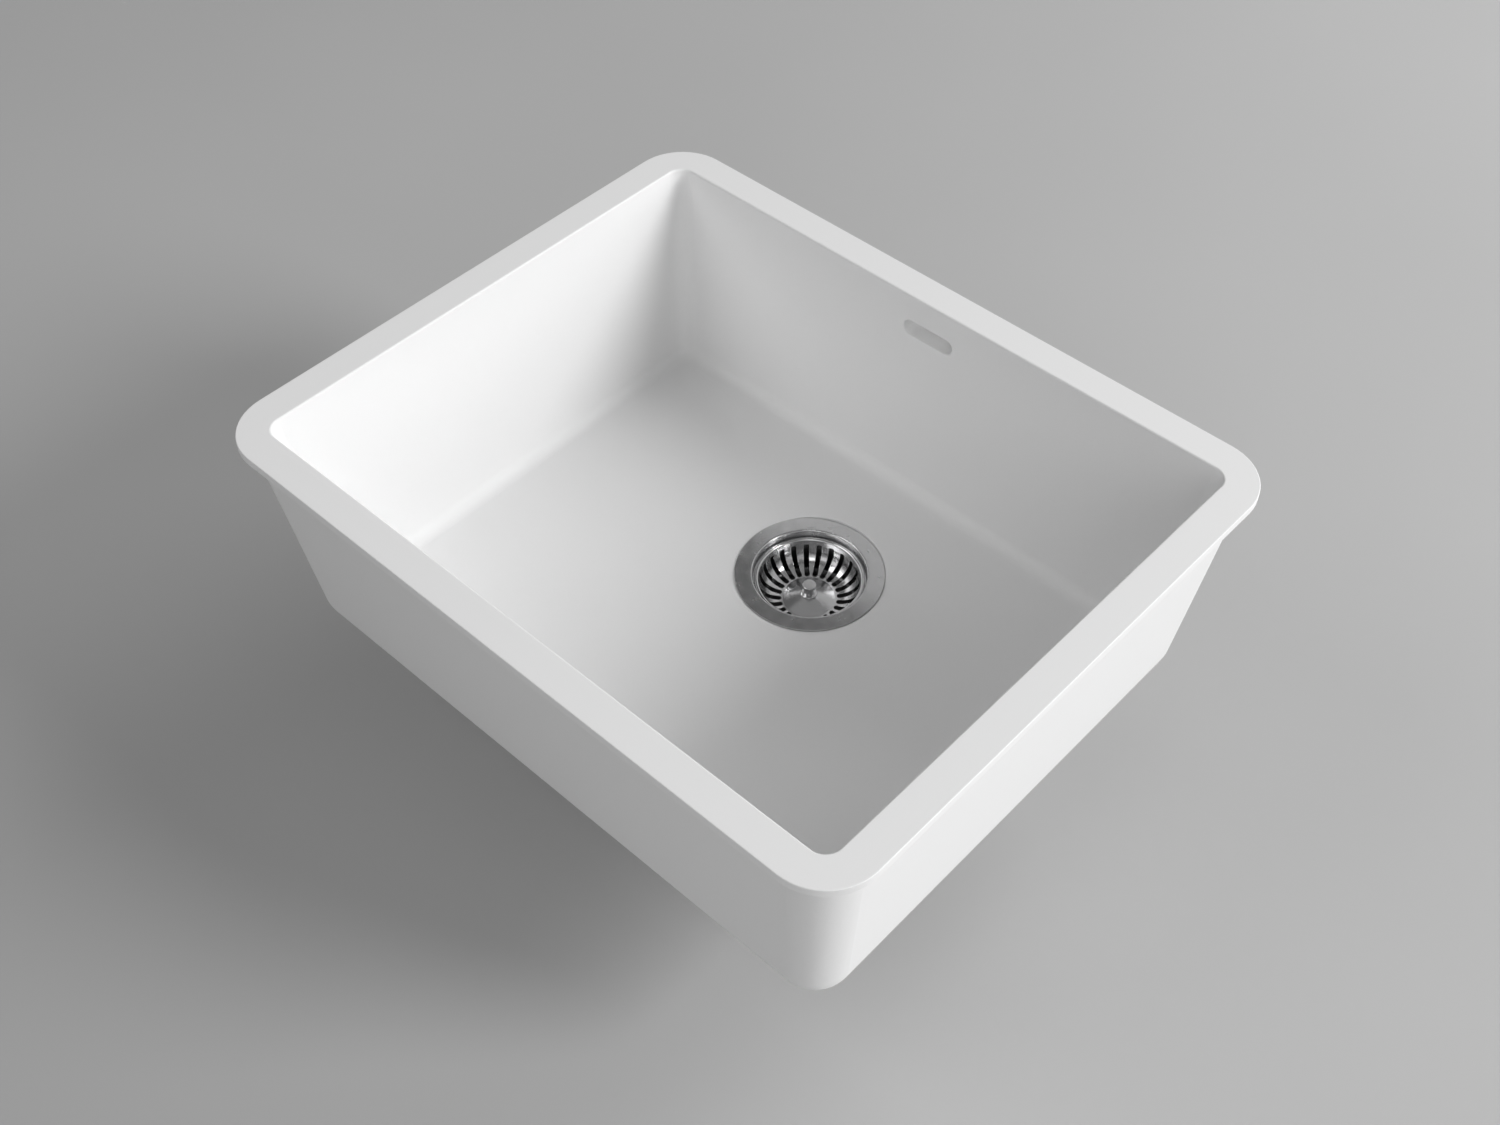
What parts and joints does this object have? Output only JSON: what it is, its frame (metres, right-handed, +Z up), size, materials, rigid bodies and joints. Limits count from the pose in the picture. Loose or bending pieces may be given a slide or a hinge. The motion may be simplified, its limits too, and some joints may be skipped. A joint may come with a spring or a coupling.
{
  "type": "kitchen sink",
  "caption": "Rectangular one-bowl undermount kitchen sink with a thin flat rim, a floor that falls to the drain, an overflow slot in the back wall and a waste with a lift-out basket.",
  "frame": {"origin": "centre of the opening, in the plane of the rim's top face", "axes": "+X along the long side, +Y towards the wall with the overflow, +Z up out of the bowl"},
  "size_m": [0.55, 0.4747, 0.2808],
  "materials": {
    "white_composite": "satin",
    "satin_steel": "satin",
    "polished_steel": "polished",
    "black_rubber": "matte",
    "white_plastic": "satin",
    "brass": "satin"
  },
  "bodies": {
    "sink": {"sink_bowl": "white_composite", "strainer_flange": "satin_steel", "clamp_screw": "satin_steel", "overflow_screws": "satin_steel", "flange_gasket": "black_rubber", "body_gasket": "black_rubber", "screw_washer": "black_rubber", "overflow_gasket": "black_rubber", "upper_pipe_seal": "black_rubber", "lower_pipe_seal": "black_rubber", "waste_body": "white_plastic", "overflow_collector": "white_plastic", "overflow_pipe": "white_plastic", "upper_pipe_nut": "white_plastic", "lower_pipe_nut": "white_plastic", "screw_socket": "brass", "overflow_inserts": "brass"},
    "plug": {"basket_seal": "black_rubber", "pin_clip": "satin_steel"},
    "basket": {"basket_cup": "polished_steel", "basket_knob": "polished_steel", "basket_pin": "polished_steel", "basket_spacer": "polished_steel", "basket_nut": "polished_steel"}
  },
  "joints": [
    {"name": "basket_lift", "type": "slide", "parent": "sink", "child": "plug", "axis": [0, 0, 1], "range_m": [0, 0.25]},
    {"name": "basket_turn", "type": "hinge", "parent": "plug", "child": "basket", "pos_m": [0, 0.075, -0.2], "axis": [0, 0, 1], "continuous": true}
  ]
}
